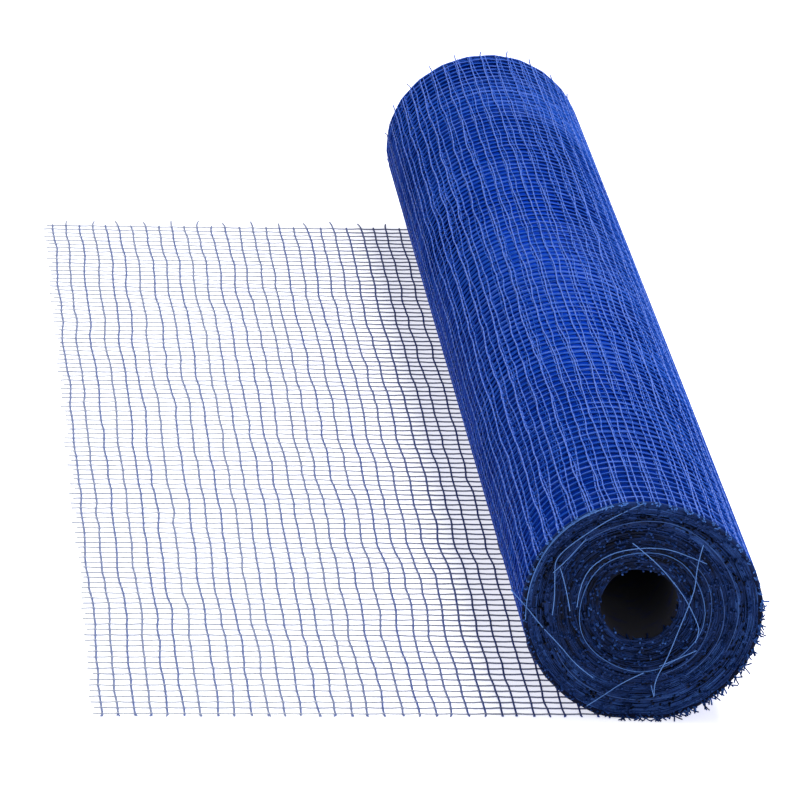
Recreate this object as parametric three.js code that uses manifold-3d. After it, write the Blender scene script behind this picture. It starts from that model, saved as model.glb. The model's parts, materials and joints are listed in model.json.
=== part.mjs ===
// A roll of blue plastic barrier net, one metre wide, with its loose end laid out flat on the floor.
//
// The net is one continuous length. Thick weft threads run across it, parallel to the roll's axis, and
// wander from side to side. Thin warp threads run along it, square to the weft. The wound length is one
// solid with a hole through its middle, and the loose end is one thin sheet that starts under the roll.
// The gaps between the threads are left uncut: there are over three thousand in the loose end alone.
//
// Units are millimetres, +Z is up, and +Y runs along the roll's axis, away from the near end.

import * as THREE from 'three';
import { mergeVertices } from 'three/addons/utils/BufferGeometryUtils.js';
import Module from 'manifold-3d';

// Driving sizes of the net
const NET_WIDTH = 1000;
const WEFT_PITCH = 9.65;
const WEFT_THICKNESS = 1.0;
const WARP_COUNT = 107;
const WARP_THICKNESS = 0.7;

// Driving sizes of the wound roll
const ROLL_RADIUS = 68.0;
const HOLE_RADIUS = 22;
const RIB_HEIGHT = 0.8;
const FLAT_DEPTH = 0.6;
const ROLL_STATIONS = 22;
const HOLE_STATIONS = 3;

// How far the roll's outline leaves a circle: lobes round it, their height, where a lobe starts, and how
// far the lobe turns from the near end to the far end
const OUT_OF_ROUND = [
  { lobes: 2, height: 1.75, startDeg: -17.5, twistDeg: 10 },
  { lobes: 3, height: 0.6, startDeg: 15.5, twistDeg: 50 },
];

// How deep the wound layers sit inside each end of the roll, from the hole out to the rim. The inner
// turns have slid inwards, and a few layers stand proud as ridges.
const NEAR_END = [
  { share: 0.4, depth: 11 },
  { share: 0.5, depth: 8 },
  { share: 0.53, depth: 4.5 },
  { share: 0.6, depth: 6.5 },
  { share: 0.75, depth: 5 },
  { share: 0.8, depth: 1.5 },
  { share: 0.87, depth: 3 },
];
const FAR_END = [
  { share: 0.42, depth: 6 },
  { share: 0.56, depth: 2 },
  { share: 0.62, depth: 5 },
  { share: 0.8, depth: 3.5 },
  { share: 0.85, depth: 1 },
];
const NEAR_HOLE_DEPTH = 13;
const FAR_HOLE_DEPTH = 8;

// Driving sizes of the loose end
const LOOSE_LENGTH = 310;
const SHEET_THICKNESS = 1.0;
const SHEET_STATIONS = 20;
const GAP = 0.3;
const SKEW = 0.045;
const SKEW_START = 5;
const STRAIGHT_WEFTS = 3;
const FREE_EDGE_MARGIN = 1.0;

// The cut ends of the threads, beyond the net's edges
const NEAR_WEFT_END = 4;
const FAR_WEFT_END_LONG = 14;
const FAR_WEFT_END_SHORT = 3;
const WARP_END = 6;
const ROOT = 2;

// The side-to-side waves of the weft threads: how far they reach, their length along the thread, and
// how far round the wave has moved from one thread to the next, as a share of the whole roll
const WAVES = [
  { reach: 2.4, length: 410, turnsRound: 3, start: 0.1 },
  { reach: 1.3, length: 190, turnsRound: 7, start: 0.55 },
];

const WEFTS_ROUND = Math.round((2 * Math.PI * ROLL_RADIUS) / WEFT_PITCH);
const TAU = 2 * Math.PI;

const wasm = await Module();
wasm.setup();

// How far a weft thread lies from its straight line, at y along the net. The last thread of a turn
// meets the first one of the next.
function waveOf(y, weft) {
  const round = weft / WEFTS_ROUND;
  return WAVES.reduce((sum, w) => {
    const turns = y / w.length + w.turnsRound * round + w.start;
    return sum + w.reach * Math.sin(TAU * turns);
  }, 0);
}

// How far the roll's surface stands out from its plain circle, at an angle from +X towards +Z
function outOfRound(angle, y) {
  const along = y / NET_WIDTH;
  return OUT_OF_ROUND.reduce((sum, o) => {
    const start = THREE.MathUtils.degToRad(o.startDeg + along * o.twistDeg);
    return sum + o.height * Math.cos(o.lobes * (angle - start));
  }, 0);
}

// The height of the roll's axis, which presses its underside flat against the floor
const AXIS_HEIGHT = ROLL_RADIUS + outOfRound(-Math.PI / 2, NET_WIDTH / 2) - FLAT_DEPTH;

// Sideways shift of the net where it lies on the floor, because it was pulled off the roll askew
function skewAt(x) {
  return SKEW_START + SKEW * x;
}

// The outline that is turned round the roll's axis: from the hole out over the near end, along the
// outside, in over the far end and back through the hole, and all of it reversed, which makes its faces
// point outwards. Each point says whether it lies on the ribbed outside.
function rollOutline() {
  const face = (rows, edge, sign) =>
    rows.map((row) => ({ r: row.share * ROLL_RADIUS, y: edge + sign * row.depth, ribbed: false }));
  const outline = [{ r: HOLE_RADIUS, y: NEAR_HOLE_DEPTH, ribbed: false }];
  outline.push(...face(NEAR_END, 0, 1));
  for (let i = 0; i <= ROLL_STATIONS; i++) {
    outline.push({ r: ROLL_RADIUS, y: (NET_WIDTH * i) / ROLL_STATIONS, ribbed: true });
  }
  outline.push(...face(FAR_END, NET_WIDTH, -1).reverse());
  for (let i = HOLE_STATIONS; i > 0; i--) {
    const y = THREE.MathUtils.lerp(NEAR_HOLE_DEPTH, NET_WIDTH - FAR_HOLE_DEPTH, i / HOLE_STATIONS);
    outline.push({ r: HOLE_RADIUS, y, ribbed: false });
  }
  return outline.reverse();
}

// The wound roll: the outline turned round the axis, then every second column raised as a weft thread,
// moved along the thread's waves, and the underside pressed flat
function woundRoll() {
  const outline = rollOutline();
  const closed = [...outline, outline[0]];
  const columns = 2 * WEFTS_ROUND;
  const profile = closed.map((p) => new THREE.Vector2(p.r, p.y));
  const geometry = new THREE.LatheGeometry(profile, columns);
  const position = geometry.getAttribute('position');
  for (let column = 0; column <= columns; column++) {
    const turned = column % columns;
    const weft = turned / 2;
    for (let j = 0; j < closed.length; j++) {
      const { r, y, ribbed } = closed[j];
      const rib = ribbed && turned % 2 === 0 ? RIB_HEIGHT : 0;
      const wave = ribbed ? waveOf(y, weft) / ROLL_RADIUS : 0;
      const angle = (TAU * turned) / columns + wave;
      const radius = r + (outOfRound(angle, y) * r) / ROLL_RADIUS + rib;
      const height = Math.max(0, AXIS_HEIGHT + radius * Math.sin(angle));
      position.setXYZ(column * closed.length + j, radius * Math.cos(angle), y, height);
    }
  }
  return geometry;
}

// Joins closed loops of points, all of the same length, into one solid with a face over each end
function loft(loops) {
  const count = loops[0].length;
  const points = loops.flat();
  const faces = [];
  for (let i = 0; i + 1 < loops.length; i++) {
    for (let j = 0; j < count; j++) {
      const a = i * count + j;
      const b = i * count + ((j + 1) % count);
      faces.push(a, a + count, b, b, a + count, b + count);
    }
  }
  for (const [start, turned] of [[0, false], [(loops.length - 1) * count, true]]) {
    const flat = points.slice(start, start + count).map((p) => new THREE.Vector2(p.x, p.z));
    for (const [a, b, c] of THREE.ShapeUtils.triangulateShape(flat, [])) {
      faces.push(start + a, start + (turned ? c : b), start + (turned ? b : c));
    }
  }
  const geometry = new THREE.BufferGeometry().setFromPoints(points);
  geometry.setIndex(faces);
  return geometry;
}

// Where the loose end starts: the roll's underside clears the sheet by the gap there
function sheetStart() {
  const lowest = AXIS_HEIGHT - SHEET_THICKNESS - GAP;
  const radius = ROLL_RADIUS + RIB_HEIGHT + outOfRound(-Math.PI / 2, NET_WIDTH / 2);
  return -Math.sqrt(radius * radius - lowest * lowest);
}

const SHEET_START = sheetStart() - GAP;
const SHEET_WEFTS = Math.floor((LOOSE_LENGTH + SHEET_START) / WEFT_PITCH) + 1;

// The place of a weft thread on the loose end, counted from its free edge. The last few, next to the
// roll, are held straight by it.
function weftX(weft, y) {
  const free = Math.min(1, (SHEET_WEFTS - 1 - weft) / STRAIGHT_WEFTS);
  return -LOOSE_LENGTH + weft * WEFT_PITCH + free * waveOf(y, weft);
}

// One slice across the loose end: its flat underside, its plain end under the roll, and its ribbed top
function sheetLoop(y) {
  const at = (x, z) => new THREE.Vector3(x, y + skewAt(x), z);
  const free = weftX(0, y) - FREE_EDGE_MARGIN;
  const loop = [at(free, 0), at(SHEET_START, 0), at(SHEET_START, SHEET_THICKNESS)];
  for (let weft = SHEET_WEFTS - 1; weft >= 0; weft--) {
    const x = weftX(weft, y);
    if (weft < SHEET_WEFTS - 1) {
      loop.push(at((x + weftX(weft + 1, y)) / 2, SHEET_THICKNESS));
    }
    loop.push(at(x, SHEET_THICKNESS + RIB_HEIGHT));
  }
  loop.push(at(free, SHEET_THICKNESS));
  return loop;
}

// A closed three.js geometry as a solid that can be joined to others
function solidOf(geometry) {
  const bare = geometry.clone();
  for (const name of Object.keys(bare.attributes)) {
    if (name !== 'position') {
      bare.deleteAttribute(name);
    }
  }
  const merged = mergeVertices(bare, 1e-4);
  return new wasm.Manifold(
    new wasm.Mesh({
      numProp: 3,
      vertProperties: new Float32Array(merged.attributes.position.array),
      triVerts: new Uint32Array(merged.index.array),
    }),
  );
}

function geometryOf(solid) {
  const mesh = solid.getMesh();
  const geometry = new THREE.BufferGeometry();
  geometry.setAttribute('position', new THREE.BufferAttribute(mesh.vertProperties, mesh.numProp));
  geometry.setIndex(new THREE.BufferAttribute(mesh.triVerts, 1));
  return geometry;
}

// A cut thread's end: a short square bar lying on the floor, from its root in the sheet outwards
function threadEnd(from, to, thickness) {
  const length = from.distanceTo(to);
  const bar = new THREE.BoxGeometry(thickness, length, thickness);
  const along = new THREE.Vector3().subVectors(to, from).normalize();
  bar.applyQuaternion(new THREE.Quaternion().setFromUnitVectors(new THREE.Vector3(0, 1, 0), along));
  bar.translate((from.x + to.x) / 2, (from.y + to.y) / 2, thickness / 2);
  return bar;
}

// The ends of all the threads that are cut along the loose end's three open edges
function threadEnds() {
  const bars = [];
  for (let weft = 0; weft < SHEET_WEFTS; weft++) {
    const far = weft % 2 === 0 ? FAR_WEFT_END_LONG : FAR_WEFT_END_SHORT;
    for (const [edge, reach] of [[0, -NEAR_WEFT_END], [NET_WIDTH, far]]) {
      const x = weftX(weft, edge);
      const root = new THREE.Vector3(x, edge + skewAt(x) - Math.sign(reach) * ROOT, 0);
      bars.push(threadEnd(root, new THREE.Vector3(x, edge + skewAt(x) + reach, 0), WEFT_THICKNESS));
    }
  }
  for (let warp = 0; warp < WARP_COUNT; warp++) {
    const y = (NET_WIDTH * (warp + 0.5)) / WARP_COUNT;
    const x = weftX(0, y);
    const tip = x - WARP_END;
    const root = new THREE.Vector3(x + ROOT, y + skewAt(x + ROOT), 0);
    bars.push(threadEnd(root, new THREE.Vector3(tip, y + skewAt(tip), 0), WARP_THICKNESS));
  }
  return bars;
}

// The loose end: one thin sheet, flat on the floor, ribbed by its weft threads, with its cut ends
function looseEnd() {
  const loops = [];
  for (let i = 0; i <= SHEET_STATIONS; i++) {
    loops.push(sheetLoop((NET_WIDTH * i) / SHEET_STATIONS));
  }
  const sheet = solidOf(loft(loops));
  return geometryOf(threadEnds().reduce((sum, bar) => sum.add(solidOf(bar)), sheet));
}

const plastic = (color) => new THREE.MeshStandardMaterial({ color, roughness: 0.45, metalness: 0 });

const roll = new THREE.Mesh(woundRoll(), plastic(0x1d3fb4));
roll.name = 'wound_roll';
const sheet = new THREE.Mesh(looseEnd(), plastic(0x4a60b8));
sheet.name = 'loose_end';

// The part's origin is the middle of its footprint, on the floor
const net = new THREE.Group();
net.add(roll, sheet);
const middle = new THREE.Box3().setFromObject(net).getCenter(new THREE.Vector3());
net.position.set(-middle.x, -middle.y, 0);

export default net;
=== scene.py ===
# %% [markdown]
# # A roll of blue barrier net, with its loose end laid out flat
#
# Barrier net fences off a building site or a field. It is sold as a roll: about twenty metres of open
# plastic net, one metre wide, wound up on itself with no tube inside. Thick weft threads run across the
# net, from one edge to the other, and thin warp threads run along it. The weft threads wander from side
# to side, which is what gives the roll its restless, rippled look.
#
# The net is one flat thing that is wound up, so this file builds it that way. Each thread is first laid
# out on a flat net, where a point is told by three numbers: how far along the net it is, how far across,
# and how far off the net's plane. One formula then carries every point to its place, flat on the floor
# or round the roll.

# %% The frame that the looks are built around
import json
import math

import bpy
from mathutils import Matrix, Vector


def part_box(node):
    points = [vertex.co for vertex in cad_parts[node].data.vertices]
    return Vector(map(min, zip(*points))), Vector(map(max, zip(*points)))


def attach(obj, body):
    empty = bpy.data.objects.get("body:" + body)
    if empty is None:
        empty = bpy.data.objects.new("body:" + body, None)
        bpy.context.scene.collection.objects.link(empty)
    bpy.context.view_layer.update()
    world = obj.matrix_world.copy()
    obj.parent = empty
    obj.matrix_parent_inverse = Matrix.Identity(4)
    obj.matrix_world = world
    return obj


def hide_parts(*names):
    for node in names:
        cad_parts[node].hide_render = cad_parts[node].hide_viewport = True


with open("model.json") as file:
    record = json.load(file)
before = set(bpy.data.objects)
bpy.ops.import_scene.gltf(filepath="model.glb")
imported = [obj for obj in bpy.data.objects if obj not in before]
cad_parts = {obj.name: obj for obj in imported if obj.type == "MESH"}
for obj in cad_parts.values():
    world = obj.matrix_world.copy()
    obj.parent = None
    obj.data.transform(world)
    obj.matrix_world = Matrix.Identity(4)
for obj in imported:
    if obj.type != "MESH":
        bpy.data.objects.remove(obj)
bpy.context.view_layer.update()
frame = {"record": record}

# %% [markdown]
# ## Sizes
#
# All sizes are in metres. The net's own sizes come first, then those of the roll. The threads of one turn
# sink a little way between those of the next, so a turn takes up less than a thread's thickness.

# %% Sizes of the net
NET_WIDTH = 1.0
LOOSE_LENGTH = 0.310
LOOSE_WEFTS = 32
WEFT_PITCH = 0.00965
WARP_COUNT = 107
WARP_THICKNESS = 0.00105
# A weft thread's thickness at the free edge, and how many times as thick it is after the growth length
WEFT_THICKNESS = 0.00125
WEFT_GROWTH = 1.45
GROWTH_LENGTH = 0.3
# How far a warp thread weaves over and under, and how far a weft thread stands proud of the net's plane
WEAVE_DEPTH = 0.00025
WEFT_PROUD = 0.0004
# The loose end lies a little askew. These are its sideways slide where it meets the roll, how much that
# grows with each metre along the net, and the turns that it takes to fade round the roll
SKEW_START = 0.005
SKEW = 0.045
SKEW_TURNS = 1.5

# %% Sizes of the roll
ROLL_RADIUS = 0.0683
TURN_STEP = 0.0004
OUTER_TURNS = 5
TURN_WEFTS = 44
# The weft threads of the outer turns get the growth on top of this thickness
TURN_WEFT_THICKNESS = 0.00095
TURN_WARP_THICKNESS = 0.0012
PACKED_RADIUS = ROLL_RADIUS - OUTER_TURNS * TURN_STEP
PACKED_STEP = 0.0007
HOLE_RADIUS = 0.0224
FLOOR_CLEARANCE = 0.0009
LOWEST_THREAD = 0.0009
# On the flat underside, each turn's height above the first one, as a share of its depth in the roll
UNDERSIDE_SHARE = 0.7
TURN = 2 * math.pi

# How far the roll leaves a circle: lobes round it, their height, the angle of a lobe's top at the near
# end, and how far the lobes turn from there to the far end
OUT_OF_ROUND = (
    (2, 0.00175, math.radians(-17.5), math.radians(10)),
    (3, 0.0006, math.radians(15.5), math.radians(50)),
)

# %% Where the roll lies in the frame
near_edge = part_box("wound_roll")[0].y
hole_low, hole_high = frame["record"]["physics"]["openings"][0]["box_m"]
axis_x = (hole_low[0] + hole_high[0]) / 2
axis_z = (hole_low[2] + hole_high[2]) / 2
print("roll's axis at x", round(axis_x, 4), "z", round(axis_z, 4), "near edge at y", round(near_edge, 4))

# %% [markdown]
# ## Writing node trees as expressions
#
# A node tree is easier to read as arithmetic. A `Wire` is one output socket, and adding or multiplying
# wires adds the Math nodes that do it. A `Maker` adds every other node: it takes the node's type, its
# settings, and the values or wires of its sockets.


# %% Wires and the maker of nodes
class Wire:
    """An output socket, on which plain arithmetic adds Math nodes."""

    def __init__(self, maker, socket):
        self.maker = maker
        self.socket = socket

    def out(self, name):
        """Another output of the same node."""
        return Wire(self.maker, self.socket.node.outputs[name])

    def __add__(self, other):
        return self.maker.math("ADD", self, other)

    def __sub__(self, other):
        return self.maker.math("SUBTRACT", self, other)

    def __mul__(self, other):
        return self.maker.math("MULTIPLY", self, other)

    def __truediv__(self, other):
        return self.maker.math("DIVIDE", self, other)

    def __rsub__(self, other):
        return self.maker.math("SUBTRACT", other, self)

    def __rtruediv__(self, other):
        return self.maker.math("DIVIDE", other, self)

    __radd__ = __add__
    __rmul__ = __mul__


class Maker:
    """Adds nodes to one tree."""

    def __init__(self, tree):
        self.tree = tree

    def add(self, kind, settings=None, sockets=None):
        """A node of this kind. Its settings come first, because they can change which sockets it has."""
        node = self.tree.nodes.new(kind)
        for name, value in (settings or {}).items():
            if name == "stops":
                fill_ramp(node.color_ramp, value)
            elif name == "points":
                fill_curve(node.mapping, value)
            else:
                setattr(node, name, value)
        for key, value in (sockets or {}).items():
            self.feed(node.inputs[key], value)
        first = next(socket for socket in node.outputs if socket.enabled) if node.outputs else None
        return Wire(self, first) if first else node

    def feed(self, socket, value):
        """Links a wire to an input socket, or sets the socket to a value."""
        if isinstance(value, Wire):
            self.tree.links.new(value.socket, socket)
        else:
            socket.default_value = value

    def math(self, operation, *values):
        return self.add("ShaderNodeMath", {"operation": operation}, dict(enumerate(values)))

    def spot(self, x, y, z):
        return self.add("ShaderNodeCombineXYZ", None, {"X": x, "Y": y, "Z": z})


def fill_ramp(ramp, stops):
    while len(ramp.elements) < len(stops):
        ramp.elements.new(0.5)
    for element, (place, colour) in zip(ramp.elements, stops):
        element.position = place
        element.color = colour


def fill_curve(mapping, points):
    curve = mapping.curves[0]
    while len(curve.points) < len(points):
        curve.points.new(0.5, 0.5)
    for point, (x, y) in zip(curve.points, points):
        point.location = (x, y)
        point.handle_type = "VECTOR"
    mapping.update()


# %% [markdown]
# ## Objects and their meshes
#
# Most pieces are made by a modifier, and a few as curves, but what is kept is a plain mesh. Blender
# works out what a live object looks like, and that result is copied to a mesh of its own.


# %% Helpers for objects
def linked(name, data):
    """A new object in the scene."""
    thing = bpy.data.objects.new(name, data)
    bpy.context.scene.collection.objects.link(thing)
    return thing


def plain_mesh(thing):
    """A mesh of what an object looks like with its modifiers or its curve's thickness."""
    graph = bpy.context.evaluated_depsgraph_get()
    return bpy.data.meshes.new_from_object(thing.evaluated_get(graph))


def counted(piece):
    """Prints how many triangles a piece has, and hands the piece back."""
    triangles = sum(len(polygon.vertices) - 2 for polygon in piece.data.polygons)
    print(piece.name, triangles, "triangles")
    return piece


# %% [markdown]
# ## Winding the net
#
# A spiral whose radius shrinks by one step a turn has a simple rule: after a length of net has gone
# round, the radius is the square root of the first radius squared, less the area that the length has
# used. The angle follows from the radius. The roll isn't a true circle, so two slow waves are added to
# the radius, and its own weight presses the underside flat on the floor.


# %% The formula that carries a point of the flat net to its place
def radius_after(m, size, wound):
    """The spiral's radius once that length of net has gone round it."""
    first = size["First Radius"]
    return m.math("SQRT", first * first - wound * size["Turn Step"] * (1 / math.pi))


def turned_by(size, radius):
    """How far the spiral has gone round when it has that radius. It starts at the bottom of the roll."""
    return (size["First Radius"] - radius) / size["Turn Step"] * TURN


def wind(m, size, along, across, off):
    """The place of a point of the flat net.

    A strip with a flat length lies flat up to there, a little askew, and goes round the roll after it.
    Any other strip goes round from its start.
    """
    start = size.get("Flat Length", 0.0)
    wound = m.math("MAXIMUM", along - start, 0.0)
    flat = m.math("MINIMUM", along - start, 0.0)
    radius = radius_after(m, size, wound)
    round_by = turned_by(size, radius)
    angle = round_by - TURN / 4
    bulge = 0.0
    for lobes, height, first, twist in OUT_OF_ROUND:
        lobe_angle = (angle - first - across * (twist / NET_WIDTH)) * lobes
        bulge = m.math("COSINE", lobe_angle) * height + bulge
    middle = radius * (bulge * (1 / ROLL_RADIUS) + 1.0)
    lowest = (ROLL_RADIUS - radius) * UNDERSIDE_SHARE + FLOOR_CLEARANCE
    height = m.math("MAXIMUM", m.math("SINE", angle) * middle + axis_z, lowest)
    x = m.math("COSINE", angle) * (middle + off) + flat + axis_x
    y = across + near_edge
    if "Flat Length" in size:
        held = m.add(
            "ShaderNodeMapRange",
            {"interpolation_type": "SMOOTHSTEP"},
            {"Value": round_by, "From Min": 0.0, "From Max": SKEW_TURNS, "To Min": 1.0, "To Max": 0.0},
        )
        y = y + (flat * SKEW + SKEW_START) * held
    z = m.math("MAXIMUM", height + m.math("SINE", angle) * off, LOWEST_THREAD)
    return m.spot(x, y, z)


# %% [markdown]
# ## Threads
#
# Geometry Nodes make the threads, because the same few threads repeat hundreds of times. One straight
# line is made for each thread, all in one place. The lines are moved on the flat net by their own number,
# the winding formula carries them to their place, and a thin section is swept along them.


# %% A tree, and the random numbers in it
def new_tree(name, inputs):
    """An empty Geometry Nodes tree with named inputs, its maker, and a wire for each input."""
    tree = bpy.data.node_groups.new(name, "GeometryNodeTree")
    tree.is_modifier = True
    for label, kind, value in inputs:
        socket = tree.interface.new_socket(label, in_out="INPUT", socket_type=kind)
        if value is not None:
            socket.default_value = value
    tree.interface.new_socket("Net", in_out="OUTPUT", socket_type="NodeSocketGeometry")
    m = Maker(tree)
    first = m.add("NodeGroupInput")
    return tree, m, {label: first.out(label) for label, kind, value in inputs}


def noise(m, x, y, z, detail=1.0):
    """Smooth noise with its middle at nought and most of it between -0.25 and 0.25.

    Its waves are about 1 long. A use that needs fewer than three numbers keeps the others still, which
    picks a slice of the noise.
    """
    sockets = {"Vector": m.spot(x, y, z), "Scale": 1.0, "Detail": detail}
    return m.add("ShaderNodeTexNoise", {"noise_dimensions": "3D"}, sockets) - 0.5


def chance(m, low, high, number, seed):
    """A random size for each thread, by its number."""
    node = m.add("FunctionNodeRandomValue", {"data_type": "FLOAT"}, {"ID": number, "Seed": seed})
    # The node has a Min and a Max for each type of number, and these two are the ones for floats
    inputs = node.socket.node.inputs
    m.feed(inputs[2], low)
    m.feed(inputs[3], high)
    return node


def either_way(m, reach, number, seed):
    """A random size for each thread, up to reach to either side of nought."""
    return chance(m, -reach, reach, number, seed)


def one_where(mask, otherwise):
    """One where a mask is one, and another size where it is nought."""
    return mask * (1 - otherwise) + otherwise


# %% [markdown]
# A thread's number is kept on its line as an attribute, because everything that sets one thread apart
# from the next follows from it: where it lies, how it wanders, how thick it is and how light. The weft
# threads of the loose end get six sides, because the eye sees them one by one there. The others get four
# or five.


# %% Lines for the threads, and what is known on them
def row_of_lines(m, count, line_start, line_end, line_points, first_number=0):
    """One line for each thread, with the thread's number kept on it."""
    row = m.add("GeometryNodeMeshLine", None, {"Count": count, "Offset": (0, 0, 0)})
    number = m.add("GeometryNodeInputIndex") + first_number
    numbered = m.add(
        "GeometryNodeStoreNamedAttribute",
        {"data_type": "INT", "domain": "POINT"},
        {"Geometry": row, "Name": "thread", "Value": number},
    )
    line = m.add("GeometryNodeCurvePrimitiveLine", None, {"Start": line_start, "End": line_end})
    fine = m.add("GeometryNodeResampleCurve", None, {"Curve": line, "Count": line_points})
    copies = m.add("GeometryNodeInstanceOnPoints", None, {"Points": numbered, "Instance": fine})
    return m.add("GeometryNodeRealizeInstances", None, {"Geometry": copies})


def thread_number(m):
    return m.add("GeometryNodeInputNamedAttribute", {"data_type": "INT"}, {"Name": "thread"})


def place_of(m):
    """The three numbers of a point on the flat net: along it, across it and off it."""
    place = m.add("GeometryNodeInputPosition")
    parts = m.add("ShaderNodeSeparateXYZ", None, {"Vector": place})
    return parts, parts.out("Y"), parts.out("Z")


# %% From lines to threads
def swept(m, lines, places, thickness, sides, tone, slimming=None):
    """The lines moved to their places, with a thin section swept along them.

    The tone picks a thread's colour from its plastic, and slimming scales its thickness. Both are read
    on the flat net, so they are kept on the lines before those are moved.
    """
    kept = m.add(
        "GeometryNodeStoreNamedAttribute",
        {"data_type": "FLOAT", "domain": "POINT"},
        {"Geometry": lines, "Name": "tone", "Value": tone},
    )
    if slimming is not None:
        kept = m.add("GeometryNodeSetCurveRadius", None, {"Curve": kept, "Radius": slimming})
    moved = m.add("GeometryNodeSetPosition", None, {"Geometry": kept, "Position": places})
    circle = {"Resolution": sides, "Radius": thickness * 0.5}
    section = m.add("GeometryNodeCurvePrimitiveCircle", None, circle)
    sockets = {"Curve": moved, "Profile Curve": section, "Fill Caps": True}
    tube = m.add("GeometryNodeCurveToMesh", None, sockets)
    return m.add("GeometryNodeSetShadeSmooth", None, {"Geometry": tube, "Shade Smooth": True})


def finish_tree(m, parts, material):
    """Joins the parts of a tree, makes them real, and gives them their material."""
    joined = m.add("GeometryNodeJoinGeometry")
    for part in parts:
        m.tree.links.new(part.socket, joined.socket.node.inputs[0])
    real = m.add("GeometryNodeRealizeInstances", None, {"Geometry": joined})
    done = m.add("GeometryNodeSetMaterial", None, {"Geometry": real, "Material": material})
    m.add("NodeGroupOutput", None, {"Net": done})


def grown(name, tree, values):
    """The piece that a tree makes from these values, as a plain mesh. Other inputs keep their own."""
    piece = linked(name, bpy.data.meshes.new(name))
    modifier = piece.modifiers.new("threads", "NODES")
    modifier.node_group = tree
    for item in tree.interface.items_tree:
        if item.in_out == "INPUT" and item.name in values:
            modifier[item.identifier] = values[item.name]
    mesh = plain_mesh(piece)
    piece.modifiers.remove(modifier)
    piece.data = mesh
    return counted(piece)


# %% [markdown]
# ## How the threads wander
#
# A weft thread is only held where it crosses a warp thread, so it drifts. Neighbours drift together in
# long slow waves, because the warp threads tie them to each other. On top of that each thread has short
# kinks of its own. Warp threads kink as well, and drift together with those beside them. All of it is
# noise, and each kind has the length of its waves and its strength: a thread moves to either side by
# about a quarter of the strength.

# %% The drift of the weft threads
SLOW_ACROSS = 0.11
SLOW_ALONG = 0.13
SLOW_DRIFT = 0.0068
QUICK_ACROSS = 0.05
QUICK_ALONG = 0.03
QUICK_DRIFT = 0.0032
KINK_LENGTH = 0.028
KINK_DRIFT = 0.0022
WEFT_SPREAD = 0.0006
# Steps through the noise from one thread to the next, long enough that neighbours aren't alike
WEFT_STRIDE = 5.13
WARP_STRIDE = 7.31


def wander(m, along, across, number):
    """How far a weft thread lies from its straight line."""
    slowly = noise(m, across * (1 / SLOW_ACROSS), along * (1 / SLOW_ALONG), 0.0)
    quickly = noise(m, across * (1 / QUICK_ACROSS), along * (1 / QUICK_ALONG), 3.0)
    alone = noise(m, across * (1 / KINK_LENGTH), number * WEFT_STRIDE, 5.0)
    own_place = either_way(m, WEFT_SPREAD, number, 3)
    return slowly * SLOW_DRIFT + quickly * QUICK_DRIFT + alone * KINK_DRIFT + own_place


# %% The drift of the warp threads
WARP_KINK_LENGTH = 0.04
WARP_KINK_DRIFT = 0.0014
WARP_WAVE_LENGTH = 0.3
WARP_WAVE_DRIFT = 0.008
# How many warp threads side by side a wave takes in, and over how many by the near edge it dies out
WARPS_IN_A_WAVE = 25
WARPS_BY_EDGE = 10


def warp_wander(m, straight, along, number):
    """Where a warp thread lies across the net, when straight is its place without any drift.

    The waves carry the warp threads of one turn over the gaps of the next, so that few gaps go deep.
    """
    kinks = noise(m, along * (1 / WARP_KINK_LENGTH), number * WARP_STRIDE, 2.0) * WARP_KINK_DRIFT
    waves = noise(m, along * (1 / WARP_WAVE_LENGTH), number * (1 / WARPS_IN_A_WAVE), 9.0)
    inside = m.math("MINIMUM", number * (1 / WARPS_BY_EDGE), 1.0)
    return straight + kinks + waves * inside * WARP_WAVE_DRIFT


# %% [markdown]
# ## A strip of net
#
# The same tree makes the loose end and each of the outer turns, because they are one net. It makes the
# weft threads, the warp threads, and the cut ends that stick out past both edges. The inputs' own values
# are those of the loose end.

# %% The inputs of a strip
STRIP_INPUTS = [
    ("First Weft", "NodeSocketInt", 0),
    ("Weft Count", "NodeSocketInt", LOOSE_WEFTS),
    ("Weft Shift", "NodeSocketFloat", 0.0),
    ("Weft Sides", "NodeSocketInt", 6),
    ("Weft Thickness", "NodeSocketFloat", WEFT_THICKNESS),
    ("Warp Count", "NodeSocketInt", WARP_COUNT),
    ("Warp Steps", "NodeSocketInt", 2),
    ("Warp Thickness", "NodeSocketFloat", WARP_THICKNESS),
    ("Flat Length", "NodeSocketFloat", LOOSE_LENGTH),
    ("First Radius", "NodeSocketFloat", ROLL_RADIUS),
    ("Turn Step", "NodeSocketFloat", TURN_STEP),
    ("Near Edge", "NodeSocketFloat", 0.0),
    ("Far Edge", "NodeSocketFloat", NET_WIDTH),
    ("Near Ends", "NodeSocketFloat", 0.004),
    ("Far Ends", "NodeSocketFloat", 0.017),
    ("Long Ends", "NodeSocketFloat", 100.0),
    ("Ends Bend", "NodeSocketFloat", 0.3),
    ("Weft Tone", "NodeSocketFloat", 0.85),
    ("Warp Tone", "NodeSocketFloat", 0.15),
    ("Near Ends Tone", "NodeSocketFloat", 0.85),
    ("Far Ends Tone", "NodeSocketFloat", 0.6),
    ("Plastic", "NodeSocketMaterial", None),
]
print("a strip has", len(STRIP_INPUTS), "inputs")


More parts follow.
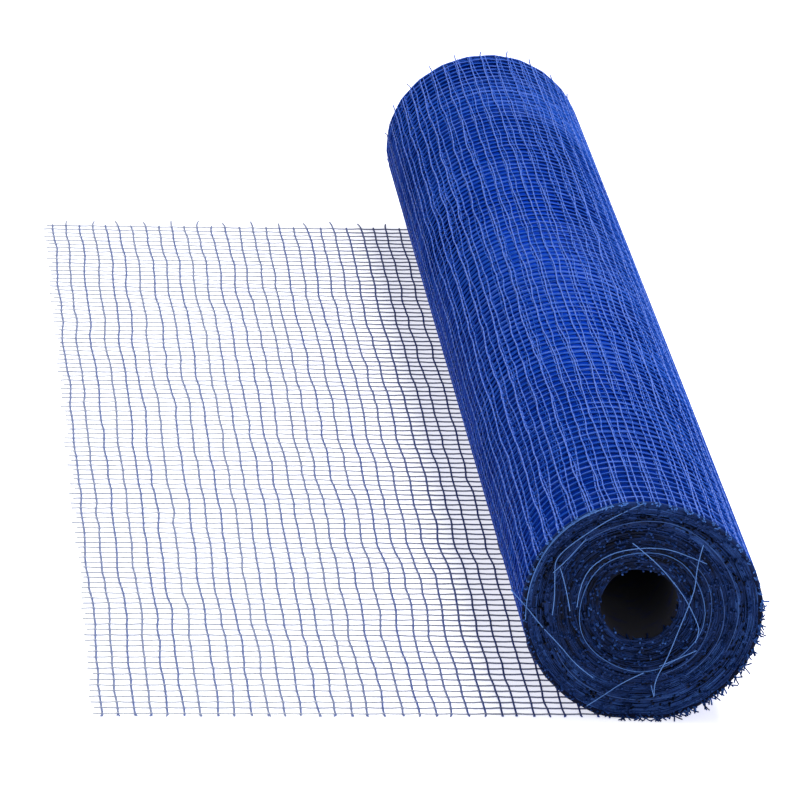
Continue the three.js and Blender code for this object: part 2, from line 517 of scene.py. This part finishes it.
# %% Weft threads
def weft_threads(m, size):
    lines = row_of_lines(
        m,
        size["Weft Count"],
        m.spot(0, size["Near Edge"], 0),
        m.spot(0, size["Far Edge"], 0),
        size["Warp Count"],
        size["First Weft"],
    )
    number = thread_number(m)
    _, across, _ = place_of(m)
    along = number * WEFT_PITCH + size["Weft Shift"]
    along = along + wander(m, along, across, number)
    places = wind(m, size, along, across, WEFT_PROUD)
    tone = either_way(m, 0.18, number, 41) + size["Weft Tone"]
    # The weft threads are thinnest at the net's free edge
    sockets = {"Value": along, "From Max": GROWTH_LENGTH, "To Min": 1.0, "To Max": WEFT_GROWTH}
    growth = m.add("ShaderNodeMapRange", None, sockets)
    slimming = growth * chance(m, 0.85, 1.15, number, 43)
    return swept(m, lines, places, size["Weft Thickness"], size["Weft Sides"], tone, slimming)


# %% Warp threads
FIRST_WARP_TONE = 0.6


def warp_threads(m, size):
    start = (size["First Weft"] - 1.0) * WEFT_PITCH
    length = (size["Weft Count"] + 1.0) * WEFT_PITCH
    lines = row_of_lines(
        m,
        size["Warp Count"],
        m.spot(start, 0, 0),
        m.spot(start + length, 0, 0),
        (size["Weft Count"] + 1.0) * size["Warp Steps"] + 1.0,
    )
    number = thread_number(m)
    along, _, _ = place_of(m)
    # The ends that stick out past the free edge are cut to unequal lengths
    past_edge = m.math("MINIMUM", along, 0.0) * chance(m, 0.25, 0.7, number, 11)
    along = m.add(
        "GeometryNodeSwitch",
        {"input_type": "FLOAT"},
        {
            "Switch": m.math("GREATER_THAN", size["First Weft"], 0.5),
            "False": m.math("MAXIMUM", along, 0.0) + past_edge,
            "True": m.math("MAXIMUM", along, size["First Weft"] * WEFT_PITCH),
        },
    )
    spacing = (size["Far Edge"] - size["Near Edge"]) / (size["Warp Count"] - 1.0)
    across = warp_wander(m, number * spacing + size["Near Edge"], along, number)
    crossing = (along * (1 / WEFT_PITCH) + number) * (TURN / 2)
    off = m.math("COSINE", crossing) * WEAVE_DEPTH
    places = wind(m, size, along, across, off)
    # Seen from the end of the roll, the first warp thread is in the shade
    in_light = one_where(m.math("GREATER_THAN", number, 0.5), FIRST_WARP_TONE)
    tone = either_way(m, 0.12, number, 42) + size["Warp Tone"] * in_light
    return swept(m, lines, places, size["Warp Thickness"], 4, tone)


# %% Cut ends of the weft threads
# A cut end's thickness where it leaves the edge, as a share of its thread's, and how much it loses
END_THICKNESS = 0.7
END_TAPER = 0.35


def cut_ends(m, size, edge, side, reach_of, bend, tone_of, seed):
    """The ends of the weft threads past one edge of the net, where side is -1 at the near edge.

    How far an end reaches and its tone are rules that take the thread's number.
    """
    lines = row_of_lines(m, size["Weft Count"], (0, 0, 0), (0, 1, 0), 4, size["First Weft"])
    number = thread_number(m)
    _, share, _ = place_of(m)
    reach = reach_of(number) * chance(m, 0.6, 1.0, number, seed)
    sideways = either_way(m, 1.0, number, seed + 1) * bend * reach
    lifted = chance(m, -0.2, 1.0, number, seed + 2) * bend * reach
    along = number * WEFT_PITCH + size["Weft Shift"]
    along = along + wander(m, along, edge, number) + sideways * share * share
    across = share * reach * side + edge
    off = lifted * share * share
    places = wind(m, size, along, across, off)
    tone = tone_of(number) + either_way(m, 0.15, number, seed + 3)
    slimming = END_THICKNESS - share * END_TAPER
    return swept(m, lines, places, size["Weft Thickness"], 4, tone, slimming)


# %% The tree of a strip
# Past the long near ends, the other near ends' reach and tone as shares of theirs
SHORT_REACH = 0.25
SHORT_TONE = 0.65
# Every second far end's reach as a share of the others', and how far the far ends bend
SECOND_REACH = 0.15
FAR_BEND = 0.15


def strip_tree():
    tree, m, size = new_tree("strip_of_net", STRIP_INPUTS)

    def is_long(number):
        return m.math("LESS_THAN", number - size["First Weft"], size["Long Ends"])

    def near_reach(number):
        return size["Near Ends"] * one_where(is_long(number), SHORT_REACH)

    def near_tone(number):
        return size["Near Ends Tone"] * one_where(is_long(number), SHORT_TONE)

    def far_reach(number):
        return size["Far Ends"] * one_where(m.math("MODULO", number, 2.0), SECOND_REACH)

    def far_tone(number):
        return size["Far Ends Tone"]

    # A weft thread splits where it is cut, so two ends stick out at the near edge
    parts = [weft_threads(m, size), warp_threads(m, size)]
    bend = size["Ends Bend"]
    for seed in (21, 26):
        parts.append(cut_ends(m, size, size["Near Edge"], -1.0, near_reach, bend, near_tone, seed))
    parts.append(cut_ends(m, size, size["Far Edge"], 1.0, far_reach, FAR_BEND, far_tone, 31))
    finish_tree(m, parts, size["Plastic"])
    return tree


strip = strip_tree()
print("strip tree has", len(strip.nodes), "nodes")

# %% [markdown]
# ## The plastic
#
# The threads are royal blue polyethylene, drawn thin, so they are glossy outside and cloudy inside. Each
# thread carries a tone, which picks its colour from its plastic's ramp. On the roll a high tone is light,
# for threads that lie open, and a low one is dark, for threads deep inside: painted light and shade. The
# roll's weft threads get higher tones than its warp threads, as painted light, since they catch more of
# the lamp. On the loose end the thin warp threads have the low tone, which looks pale over the white
# floor, and the weft threads are bluer. On the roll each weft thread is also painted lightest about where
# it crosses a warp thread, a painted highlight, so it looks like a string of beads.


# %% The blue plastic
CLOUD_SCALE = 110.0
GRAIN_SCALE = 900.0
GRAIN_IN_TONE = 0.3
GRAIN_IN_ROUGHNESS = 0.2
GRAIN_HEIGHT = 0.0002


def new_material(name):
    material = bpy.data.materials.new(name)
    material.use_nodes = True
    material.node_tree.nodes.clear()
    return material, Maker(material.node_tree)


def net_plastic(name, colours, roughness, gloss, fade=None, shade=None, beads=0.0, cloudy=0.6):
    """A plastic whose ramp runs over even steps of tone.

    A fade is painted shade: it changes the ramp along an axis, from one place to another, to other
    colours.
    A shade is painted shade: it lowers the tone below a height, up to another height, by a depth. Beads
    are
    painted highlights: how much lighter it is at each warp thread.
    """
    material, m = new_material(name)
    spot = m.add("ShaderNodeTexCoord").out("Object")
    places = m.add("ShaderNodeSeparateXYZ", None, {"Vector": spot})
    clouds = m.add("ShaderNodeTexNoise", None, {"Vector": spot, "Scale": CLOUD_SCALE, "Detail": 2.0})
    grain = m.add("ShaderNodeTexNoise", None, {"Vector": spot, "Scale": GRAIN_SCALE, "Detail": 2.0})
    tone = m.add("ShaderNodeAttribute", {"attribute_name": "tone"}).out("Fac")
    mix = tone + (clouds - 0.5) * cloudy + (grain - 0.5) * GRAIN_IN_TONE

    def step(axis, low, high):
        sockets = {"Value": places.out(axis), "From Min": low, "From Max": high}
        return m.add("ShaderNodeMapRange", {"interpolation_type": "SMOOTHSTEP"}, sockets)

    def ramp(steps):
        last = len(steps) - 1
        stops = [(index / last, (*colour, 1)) for index, colour in enumerate(steps)]
        return m.add("ShaderNodeValToRGB", {"stops": stops}, {"Fac": mix})

    if shade:
        low, high, depth = shade
        mix = mix - (1.0 - step("Z", low, high)) * depth
    if beads:
        warps_passed = (places.out("Y") - near_edge) * ((WARP_COUNT - 1) / NET_WIDTH)
        mix = mix + m.math("COSINE", warps_passed * TURN) * beads
    colour = ramp(colours)
    if fade:
        axis, low, high, others = fade
        # A Mix node's sockets 0, 6 and 7 are its factor and its two colours
        sockets = {0: step(axis, low, high), 6: colour, 7: ramp(others)}
        colour = m.add("ShaderNodeMix", {"data_type": "RGBA"}, sockets)
    bump = m.add("ShaderNodeBump", None, {"Strength": 0.25, "Distance": GRAIN_HEIGHT, "Height": grain})
    surface = m.add(
        "ShaderNodeBsdfPrincipled",
        None,
        {
            "Base Color": colour,
            "Roughness": grain * GRAIN_IN_ROUGHNESS + (roughness - GRAIN_IN_ROUGHNESS / 2),
            "Normal": bump,
            "Specular IOR Level": gloss,
        },
    )
    m.add("ShaderNodeOutputMaterial", None, {"Surface": surface})
    return material


def give_tones(mesh, tones):
    """A tone for each point of a mesh that no tree has made."""
    values = mesh.attributes.new("tone", "FLOAT", "POINT")
    values.data.foreach_set("value", tones)


# %% [markdown]
# The blues of each place run from the lowest tone to the highest. The roll's threads are painted darker
# at the near end than along the side, as painted shade, because the ends of the roll are turned away from
# the lamp, so their plastic fades from one set to the other within a few millimetres. The loose end's
# fades too, towards the roll, where it lies in the roll's shade: painted shade.

# %% The blues, and a plastic for each place
ROLL_BLUES = ((0.002, 0.022, 0.24), (0.009, 0.070, 0.41), (0.10, 0.19, 0.63))
CORE_BLUES = ((0.030, 0.030, 0.036), (0.001, 0.009, 0.10), (0.002, 0.032, 0.36))
# The blues of the ends are the roll's blues painted darker: painted shade, as both ends are turned away
# from the lamp
SHADED_END_BLUES = ((0.0005, 0.002, 0.009), (0.009, 0.032, 0.14), (0.055, 0.15, 0.46))
LOOSE_BLUES = ((0.51, 0.53, 0.56), (0.27, 0.30, 0.40), (0.12, 0.16, 0.34))
SHADED_BLUES = ((0.23, 0.24, 0.31), (0.06, 0.08, 0.19), (0.014, 0.040, 0.21))
STRAY_BLUES = ((0.02, 0.05, 0.17), (0.05, 0.13, 0.36), (0.12, 0.25, 0.58))

roll_plastic = net_plastic(
    "roll_plastic",
    SHADED_END_BLUES,
    roughness=0.5,
    gloss=0.08,
    # Painted shade: within the last few millimetres at the near end, the threads turn to the darker blues
    # of the ends
    fade=("Y", near_edge - 0.001, near_edge + 0.003, ROLL_BLUES),
    # Painted shade: the roll's threads are darker low down, where less light reaches its sides and
    # underside
    shade=(0.01, 0.145, 0.6),
    # Painted highlights: each weft thread is lighter about where it crosses a warp thread
    beads=0.3,
)
core_plastic = net_plastic("core_plastic", CORE_BLUES, roughness=0.8, gloss=0.0)
end_plastic = net_plastic("end_plastic", SHADED_END_BLUES, roughness=0.5, gloss=0.12, cloudy=0.3)
# Painted shade: the loose end's blues darken towards the roll, where it lies in the roll's shade
loose_shade_fade = ("X", -0.11, 0.12, SHADED_BLUES)
loose_plastic = net_plastic("loose_plastic", LOOSE_BLUES, roughness=0.5, gloss=0.1, fade=loose_shade_fade)
stray_plastic = net_plastic("stray_plastic", STRAY_BLUES, roughness=0.5, gloss=0.15)
for plastic in (roll_plastic, core_plastic, end_plastic, loose_plastic, stray_plastic):
    print(plastic.name, len(plastic.node_tree.nodes), "nodes")

# %% [markdown]
# ## The loose end and the outer turns
#
# The loose end runs from the free edge to where the net meets the roll. Five turns are built thread by
# thread, because the eye looks through the meshes of the first turn to the next ones. Each turn is
# painted darker than the one over it, as painted shade, which gives the roll its depth.

# %% The loose end
loose_end = grown("loose_end_net", strip, {"Plastic": loose_plastic})

# %% The outer turns
# The tones of the weft and of the warp threads of each turn, and how far its weft threads are moved
# along, so that those of all five lie side by side. The tones fall from turn to turn as painted shade,
# and the weft threads' tones are above the warp threads' as painted light
TURN_LOOKS = (
    (0.95, 0.34, 0.0),
    (0.92, 0.28, -0.0015),
    (0.84, 0.18, 0.0017),
    (0.72, 0.08, -0.0049),
    (0.58, 0.0, 0.0017),
)
# A turn starts at the bottom and goes up on the right, and its near ends are long over this many wefts
LONG_NEAR_ENDS = 13.0
turns = []
for index, (weft_tone, warp_tone, weft_shift) in enumerate(TURN_LOOKS):
    outermost = index == 0
    values = {
        "First Weft": LOOSE_WEFTS + index * TURN_WEFTS,
        "Weft Count": TURN_WEFTS,
        "Weft Sides": 4,
        "Weft Shift": weft_shift,
        "Weft Thickness": TURN_WEFT_THICKNESS,
        "Warp Thickness": TURN_WARP_THICKNESS,
        "Near Ends": 0.006,
        "Far Ends": 0.015 if outermost else 0.003,
        "Near Ends Tone": 1.25,
        "Long Ends": LONG_NEAR_ENDS,
        "Ends Bend": 0.8,
        "Weft Tone": weft_tone,
        "Warp Tone": warp_tone,
        "Plastic": roll_plastic,
    }
    turns.append(grown(f"wound_turn_{index + 1}", strip, values))

# %% [markdown]
# ## The packed turns at the ends
#
# Under the outer turns lie about sixty more. Only their edges show, at the two ends of the roll, so only
# the edges are built: the last warp thread of each turn, and the weft threads that stick out past it.
# The turns have slid along each other, and a curve says how deep each one lies.

# %% The depth of each turn inside the two ends
# Each pair is a radius, as a share of the roll's, and the depth there
NEAR_DEPTHS = (
    (0.30, 0.013),
    (0.40, 0.011),
    (0.50, 0.008),
    (0.53, 0.0045),
    (0.60, 0.0065),
    (0.75, 0.005),
    (0.80, 0.0015),
    (0.87, 0.003),
    (1.00, 0.0),
)
FAR_DEPTHS = (
    (0.30, 0.008),
    (0.42, 0.006),
    (0.56, 0.002),
    (0.62, 0.005),
    (0.80, 0.0035),
    (0.85, 0.001),
    (1.00, 0.0),
)
# A curve node's values go from nought to one, so it gets the depths as shares of this one
DEEPEST = 0.02
packed_length = math.pi * (PACKED_RADIUS**2 - HOLE_RADIUS**2) / PACKED_STEP
print("packed net", round(packed_length, 2), "m")

# %% How light and how ragged the turns are
# Each pair is a radius again, and how light the turns are there
EDGE_TONES = (
    (0.30, 0.26),
    (0.49, 0.22),
    (0.53, 0.22),
    (0.70, 0.24),
    (0.74, 0.46),
    (0.80, 0.46),
    (0.82, 0.42),
    (0.87, 0.43),
    (0.89, 0.48),
    (1.00, 0.48),
)
# The same for the weft ends, which show as light dots, but as dark ones in one band
DOT_TONES = (
    (0.30, 0.56),
    (0.49, 0.50),
    (0.54, 0.38),
    (0.58, 0.48),
    (0.70, 0.46),
    (0.80, 0.38),
    (0.82, 0.00),
    (0.88, 0.00),
    (0.90, 0.48),
    (1.00, 0.50),
)
# How uneven the edges of the turns are: most in the band of dark ends, and least outside it
RAGGED = (
    (0.30, 0.80),
    (0.50, 0.80),
    (0.55, 0.50),
    (0.79, 0.35),
    (0.82, 1.00),
    (0.88, 1.00),
    (0.91, 0.25),
    (1.00, 0.20),
)


def by_radius(m, size, along, curve):
    """A value read from a curve at the radius of a turn."""
    radius = radius_after(m, size, along)
    return m.add("ShaderNodeFloatCurve", {"points": curve}, {"Value": radius * (1 / ROLL_RADIUS)})


# %% The streaks on the edges, and how deep they lie
# Their waves from the axis out to either side, the length of a wave from turn to turn, and their strength
STREAK_WAVES = 1.8
STREAK_LENGTH = 0.0018
STREAK_STRENGTH = 1.2
LIGHTER_RIGHT = 0.06
LIGHTER_BELOW = 0.07
# Along the net, the length of the ragged waves, and the length and strength of the slow slides
RAGGED_LENGTH = 0.012
SLIDE_LENGTH = 0.3
SLIDE = 0.005


def bands(m, size, along):
    """Noise that changes from turn to turn but slowly round the roll, and is lighter low on the right."""
    radius = radius_after(m, size, along)
    angle = turned_by(size, radius) - TURN / 4
    sideways = m.math("COSINE", angle)
    upwards = m.math("SINE", angle)
    inwards = radius * (1 / STREAK_LENGTH)
    streaks = noise(m, sideways * STREAK_WAVES, upwards * STREAK_WAVES, inwards, 2.0)
    return streaks * STREAK_STRENGTH + sideways * LIGHTER_RIGHT - upwards * LIGHTER_BELOW


def depth_of_turn(m, size, along, depths):
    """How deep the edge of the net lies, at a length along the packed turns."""
    smooth = by_radius(m, size, along, [(share, depth / DEEPEST) for share, depth in depths])
    ragged = noise(m, along * (1 / RAGGED_LENGTH), 0.0, 4.0) * size["Ragged"]
    slide = noise(m, along * (1 / SLIDE_LENGTH), 0.0, 8.0) * SLIDE
    return smooth * DEEPEST + ragged * by_radius(m, size, along, RAGGED) + slide


# %% The edges of the packed turns
EDGE_THICKNESS = 0.0009
POINT_SPACING = 0.003
RIPPLE_LENGTH = 0.02
RIPPLE = 0.0014
SPECK_LENGTH = 0.008
SPECK_STRENGTH = 0.3


def packed_edge(m, size, depths):
    ends = {"Start": (0, 0, 0), "End": m.spot(size["Length"], 0, 0)}
    line = m.add("GeometryNodeCurvePrimitiveLine", None, ends)
    points = size["Length"] * (1 / POINT_SPACING)
    fine = m.add("GeometryNodeResampleCurve", None, {"Curve": line, "Count": points})
    along, _, _ = place_of(m)
    depth = depth_of_turn(m, size, along, depths)
    off = noise(m, along * (1 / RIPPLE_LENGTH), 3.0, 0.0) * RIPPLE
    across = size["Edge"] + depth * size["Inwards"]
    places = wind(m, size, along, across, off)
    specks = noise(m, along * (1 / SPECK_LENGTH), 5.0, 2.0) * SPECK_STRENGTH
    tone = by_radius(m, size, along, EDGE_TONES) + bands(m, size, along) + specks
    return swept(m, fine, places, EDGE_THICKNESS, 4, tone)


# %% The weft ends between the packed turns
DOT_THICKNESS = 0.0013
DOT_SPREAD = 0.003
# How far the tip of an end leans along the net, and how far off it
DOT_LEAN = 0.0055
DOT_LIFT = 0.002
# An end's thickness at its root and what it loses to its tip, both scaled by chance
DOT_ROOT = 1.3
DOT_TAPER = 0.6


def packed_ends(m, size, depths):
    lines = row_of_lines(m, size["Length"] * (1 / WEFT_PITCH), (0, 0, 0), (0, 1, 0), 4)
    number = thread_number(m)
    _, share, _ = place_of(m)
    base = number * WEFT_PITCH + either_way(m, DOT_SPREAD, number, 5)
    out = chance(m, -0.2, 1.0, number, 6) * size["Longest End"]
    reach = size["Root"] - share * (size["Root"] + out)
    bend = share * share * share
    along = base + either_way(m, DOT_LEAN, number, 7) * bend
    off = either_way(m, DOT_LIFT, number, 8) * bend
    across = size["Edge"] + (depth_of_turn(m, size, base, depths) + reach) * size["Inwards"]
    places = wind(m, size, along, across, off)
    uneven = chance(m, -0.4, 0.3, number, 9) * by_radius(m, size, base, RAGGED)
    tone = by_radius(m, size, base, DOT_TONES) + uneven
    slimming = chance(m, 0.35, 1.25, number, 10) * (DOT_ROOT - share * DOT_TAPER)
    return swept(m, lines, places, DOT_THICKNESS, 5, tone, slimming)


# %% The packed turns at both ends
PACKED_INPUTS = [
    ("First Radius", "NodeSocketFloat", PACKED_RADIUS),
    ("Turn Step", "NodeSocketFloat", PACKED_STEP),
    ("Length", "NodeSocketFloat", packed_length),
    ("Edge", "NodeSocketFloat", 0.0),
    ("Inwards", "NodeSocketFloat", 1.0),
    ("Root", "NodeSocketFloat", 0.009),
    ("Longest End", "NodeSocketFloat", 0.0035),
    ("Ragged", "NodeSocketFloat", 0.006),
    ("Plastic", "NodeSocketMaterial", None),
]


def packed_tree(name, depths):
    tree, m, size = new_tree(name, PACKED_INPUTS)
    finish_tree(m, [packed_edge(m, size, depths), packed_ends(m, size, depths)], size["Plastic"])
    return tree


near_tree = packed_tree("near_end", NEAR_DEPTHS)
near_turns = grown("near_end_turns", near_tree, {"Plastic": end_plastic})
far_tree = packed_tree("far_end", FAR_DEPTHS)
far_values = {"Edge": NET_WIDTH, "Inwards": -1.0, "Plastic": end_plastic}
far_turns = grown("far_end_turns", far_tree, far_values)

# %% [markdown]
# ## The body of the roll
#
# Behind the threads that show, the roll is solid net. A plain turned body fills it, a little smaller than
# the threads on every side. Little light gets in there, so it is nearly black at its ends and in the
# hole, and deep blue along its side.

# %% The outline of the body
# The body's walls lie this much outside the hole and the packed turns, within their threads
BODY_WALL = 0.0006
BEHIND_ENDS = 0.005
BODY_RIM = 0.002
BODY_COLUMNS = 96


def body_outline():
    """The body's outline from the hole's near end round to its far end.

    Each point has its radius, its place across the net, and its tone.
    """
    inside = HOLE_RADIUS + BODY_WALL
    outside = PACKED_RADIUS + BODY_WALL
    outline = [(inside, NEAR_DEPTHS[0][1] + BEHIND_ENDS, 0.0)]
    for share, depth in NEAR_DEPTHS[1:-1]:
        outline.append((share * ROLL_RADIUS, depth + BEHIND_ENDS, 0.0))
    outline.append((outside, BODY_RIM, 1.0))
    outline.append((outside, NET_WIDTH - BODY_RIM, 1.0))
    for share, depth in reversed(FAR_DEPTHS[1:-1]):
        outline.append((share * ROLL_RADIUS, NET_WIDTH - depth - BEHIND_ENDS, 0.0))
    outline.append((inside, NET_WIDTH - FAR_DEPTHS[0][1] - BEHIND_ENDS, 0.0))
    return outline


# %% The packed body
def body_point(angle, radius, across):
    """A point of the body, on the same uneven circle as the turns."""
    bulge = sum(
        height * math.cos(lobes * (angle - first - across / NET_WIDTH * twist))
        for lobes, height, first, twist in OUT_OF_ROUND
    )
    wide = radius * (1 + bulge / ROLL_RADIUS)
    lowest = (ROLL_RADIUS - radius) * UNDERSIDE_SHARE + FLOOR_CLEARANCE
    z = max(axis_z + wide * math.sin(angle), lowest)
    return axis_x + wide * math.cos(angle), near_edge + across, z


def turned_body(name, outline, material):
    points, faces, tones = [], [], []
    for column in range(BODY_COLUMNS):
        for radius, across, tone in outline:
            points.append(body_point(TURN * column / BODY_COLUMNS, radius, across))
            tones.append(tone)
    rows = len(outline)
    for column in range(BODY_COLUMNS):
        here = column * rows
        there = (column + 1) % BODY_COLUMNS * rows
        for row in range(rows):
            after = (row + 1) % rows
            faces.append((here + row, there + row, there + after, here + after))
    mesh = bpy.data.meshes.new(name)
    mesh.from_pydata(points, [], faces)
    mesh.polygons.foreach_set("use_smooth", [True] * len(faces))
    mesh.materials.append(material)
    give_tones(mesh, tones)
    return counted(linked(name, mesh))


body = turned_body("packed_body", body_outline(), core_plastic)

# %% [markdown]
# ## Stray threads
#
# A few cut threads have come loose and lie across the near end, and a few more follow a turn round and
# stand proud of it. The loose ones follow no rule, so each is a short list of places in the plane of the
# end, in millimetres from the roll's axis. The others are arcs.

# %% The routes of the stray threads
STRAYS = (
    ((-3, 66), (-19, 58), (-32, 49), (-45, 39), (-52, 31), (-52, 23), (-51, 6), (-52, -3)),
    ((-35, 44), (-42, 35), (-49, 27), (-53, 23)),
    ((-49, 26), (-45, 15), (-42, 0)),
    ((-77, 12), (-69, 4), (-57, -11), (-46, -22), (-36, -34), (-26, -41)),
    ((-8, 42), (-4, 39), (9, 28), (21, 14), (27, 5), (33, -7), (34, -12), (32, -18)),
    ((33, 42), (30, 29), (30, 16), (27, 5), (22, -10), (16, -29), (9, -43), (10, -51)),
    ((-38, 2), (-37, 21), (-22, 35), (-4, 39), (9, 39), (19, 37), (36, 30)),
    ((33, -23), (23, -28), (12, -33)),
    ((-29, -58), (-19, -51), (-9, -43), (3, -37)),
    ((8, -45), (10, -52)),
)
# Threads that stand proud and follow a turn round: the radius as a share of the roll's, from and to which
# angle in degrees, and how many steps
CLEAR_RINGS = ((0.535, 0, 360, 40),)
FAINT_RINGS = ((0.60, -70, 50, 12), (0.70, -55, 20, 12), (0.815, -25, 130, 18), (0.80, 205, 290, 10))
# The rim rings are light threads on the upper left of the rim: a painted highlight, for the light that
# the rim catches there
RIM_RINGS = ((1.0, 116, 152, 8), (0.995, 108, 185, 16))
MM = 0.001
UNEVEN_MM = 0.5


def ring_routes(rings):
    """For each ring, the places along its arc, a little uneven, in millimetres from the axis."""
    routes = []
    for share, first, last, steps in rings:
        route = []
        for step in range(steps + 1):
            angle = math.radians(first + (last - first) * step / steps)
            radius = ROLL_RADIUS / MM * share + UNEVEN_MM * math.sin(angle * 5 + share * 40)
            route.append((radius * math.cos(angle), radius * math.sin(angle)))
        routes.append(route)
    return routes


print(len(STRAYS), "stray threads and", len(CLEAR_RINGS + FAINT_RINGS + RIM_RINGS), "rings")

# %% The stray threads on the near end
# How far the lowest threads stand out from the near end, and each of the next two layers over them
STRAY_OUT = 0.001
STRAY_LAYER = 0.0006
STRAY_LAYERS = 3


def proud_threads(name, routes, thickness, tone):
    """Threads that lie across the near end, each through the places of its route."""
    curve = bpy.data.curves.new(name, "CURVE")
    curve.dimensions = "3D"
    curve.bevel_depth = thickness / 2
    curve.bevel_resolution = 1
    curve.resolution_u = 4
    curve.use_fill_caps = True
    for index, route in enumerate(routes):
        spline = curve.splines.new("NURBS")
        spline.points.add(len(route) - 1)
        spline.use_endpoint_u = True
        spline.order_u = 3
        out = STRAY_OUT + STRAY_LAYER * (index % STRAY_LAYERS)
        for point, (x, z) in zip(spline.points, route):
            point.co = (axis_x + x * MM, near_edge - out, axis_z + z * MM, 1)
    curve.materials.append(stray_plastic)
    thing = linked(name, curve)
    mesh = plain_mesh(thing)
    bpy.data.objects.remove(thing)
    mesh.name = name
    give_tones(mesh, [tone] * len(mesh.vertices))
    return counted(linked(name, mesh))


strays = [
    proud_threads("stray_threads", STRAYS, 0.00055, 0.75),
    proud_threads("clear_ring_threads", ring_routes(CLEAR_RINGS), 0.0005, 0.45),
    proud_threads("faint_ring_threads", ring_routes(FAINT_RINGS), 0.0005, 0.1),
    proud_threads("rim_ring_threads", ring_routes(RIM_RINGS), 0.0006, 0.6),
]

# %% [markdown]
# ## Floor, light and camera
#
# The floor is plain white. It glows a little, so that it stays white to the edges of the picture and
# still takes a soft shade beside the roll. A wide lamp hangs high up on the right, and a weak one in
# front lights the near end, in an even light from all round. The camera stands a few metres off with a
# long lens.


# %% The floor
def white_floor():
    material, m = new_material("white_floor")
    paint = m.add("ShaderNodeBsdfDiffuse", None, {"Color": (0.9, 0.9, 0.93, 1)})
    glow = m.add("ShaderNodeEmission", None, {"Color": (0.96, 0.96, 1.0, 1), "Strength": 0.69})
    both = m.add("ShaderNodeAddShader", None, {0: paint, 1: glow})
    m.add("ShaderNodeOutputMaterial", None, {"Surface": both})
    half = 30.0
    corners = [(-half, -half, 0), (half, -half, 0), (half, half, 0), (-half, half, 0)]
    mesh = bpy.data.meshes.new("floor")
    mesh.from_pydata(corners, [], [(0, 1, 2, 3)])
    mesh.materials.append(material)
    floor = linked("floor", mesh)
    return counted(floor)


floor = white_floor()


# %% The light
def area_light(name, spot, aim, size, power, colour):
    data = bpy.data.lights.new(name, "AREA")
    data.shape = "DISK"
    data.size = size
    data.energy = power
    data.color = colour
    light = linked(name, data)
    light.location = spot
    light.rotation_euler = (Vector(aim) - Vector(spot)).to_track_quat("-Z", "Y").to_euler()
    print(name, "light", power, "W")
    return light


area_light("key", (0.8, 0.0, 2.6), (0.1, 0, 0), size=1.0, power=76, colour=(1.0, 0.99, 0.97))
area_light("fill", (0.5, -2.5, 0.9), (0.1, -0.5, 0.05), size=1.0, power=8, colour=(0.95, 0.97, 1.0))

world = bpy.data.worlds.new("studio")
world.use_nodes = True
world.node_tree.nodes["Background"].inputs["Color"].default_value = (0.9, 0.93, 1.0, 1)
world.node_tree.nodes["Background"].inputs["Strength"].default_value = 0.5
bpy.context.scene.world = world
bpy.context.scene.view_settings.view_transform = "Standard"

# %% The camera
# Places are from the point on the floor under the near end of the roll's axis
CAMERA_SPOT = Vector((-0.48218, -3.55458, 1.32533))
CAMERA_AIM = Vector((-0.08965, 0.59890, 0.0))
CAMERA_TILT = math.radians(2.9003)
FOCAL_PIXELS = 6576.73
FRAME_PIXELS = 800

under_axis = Vector((axis_x, near_edge, 0))
lens = bpy.data.cameras.new("camera")
lens.sensor_width = 36
lens.lens = FOCAL_PIXELS / FRAME_PIXELS * lens.sensor_width
lens.clip_end = 100
camera = linked("camera", lens)
place = Matrix.Translation(under_axis + CAMERA_SPOT)
facing = (CAMERA_AIM - CAMERA_SPOT).to_track_quat("-Z", "Y").to_matrix().to_4x4()
camera.matrix_world = place @ facing @ Matrix.Rotation(CAMERA_TILT, 4, "Z")
bpy.context.scene.camera = camera
print("lens", round(lens.lens, 1), "mm")

# %% [markdown]
# ## What each piece is
#
# The roll is one body, so every piece rides on it, and all of them are the same plastic. Two pieces take
# the places of the two plain solids.

for piece in (loose_end, *turns, near_turns, far_turns, body, *strays):
    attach(piece, "root")
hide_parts("loose_end")
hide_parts("wound_roll")
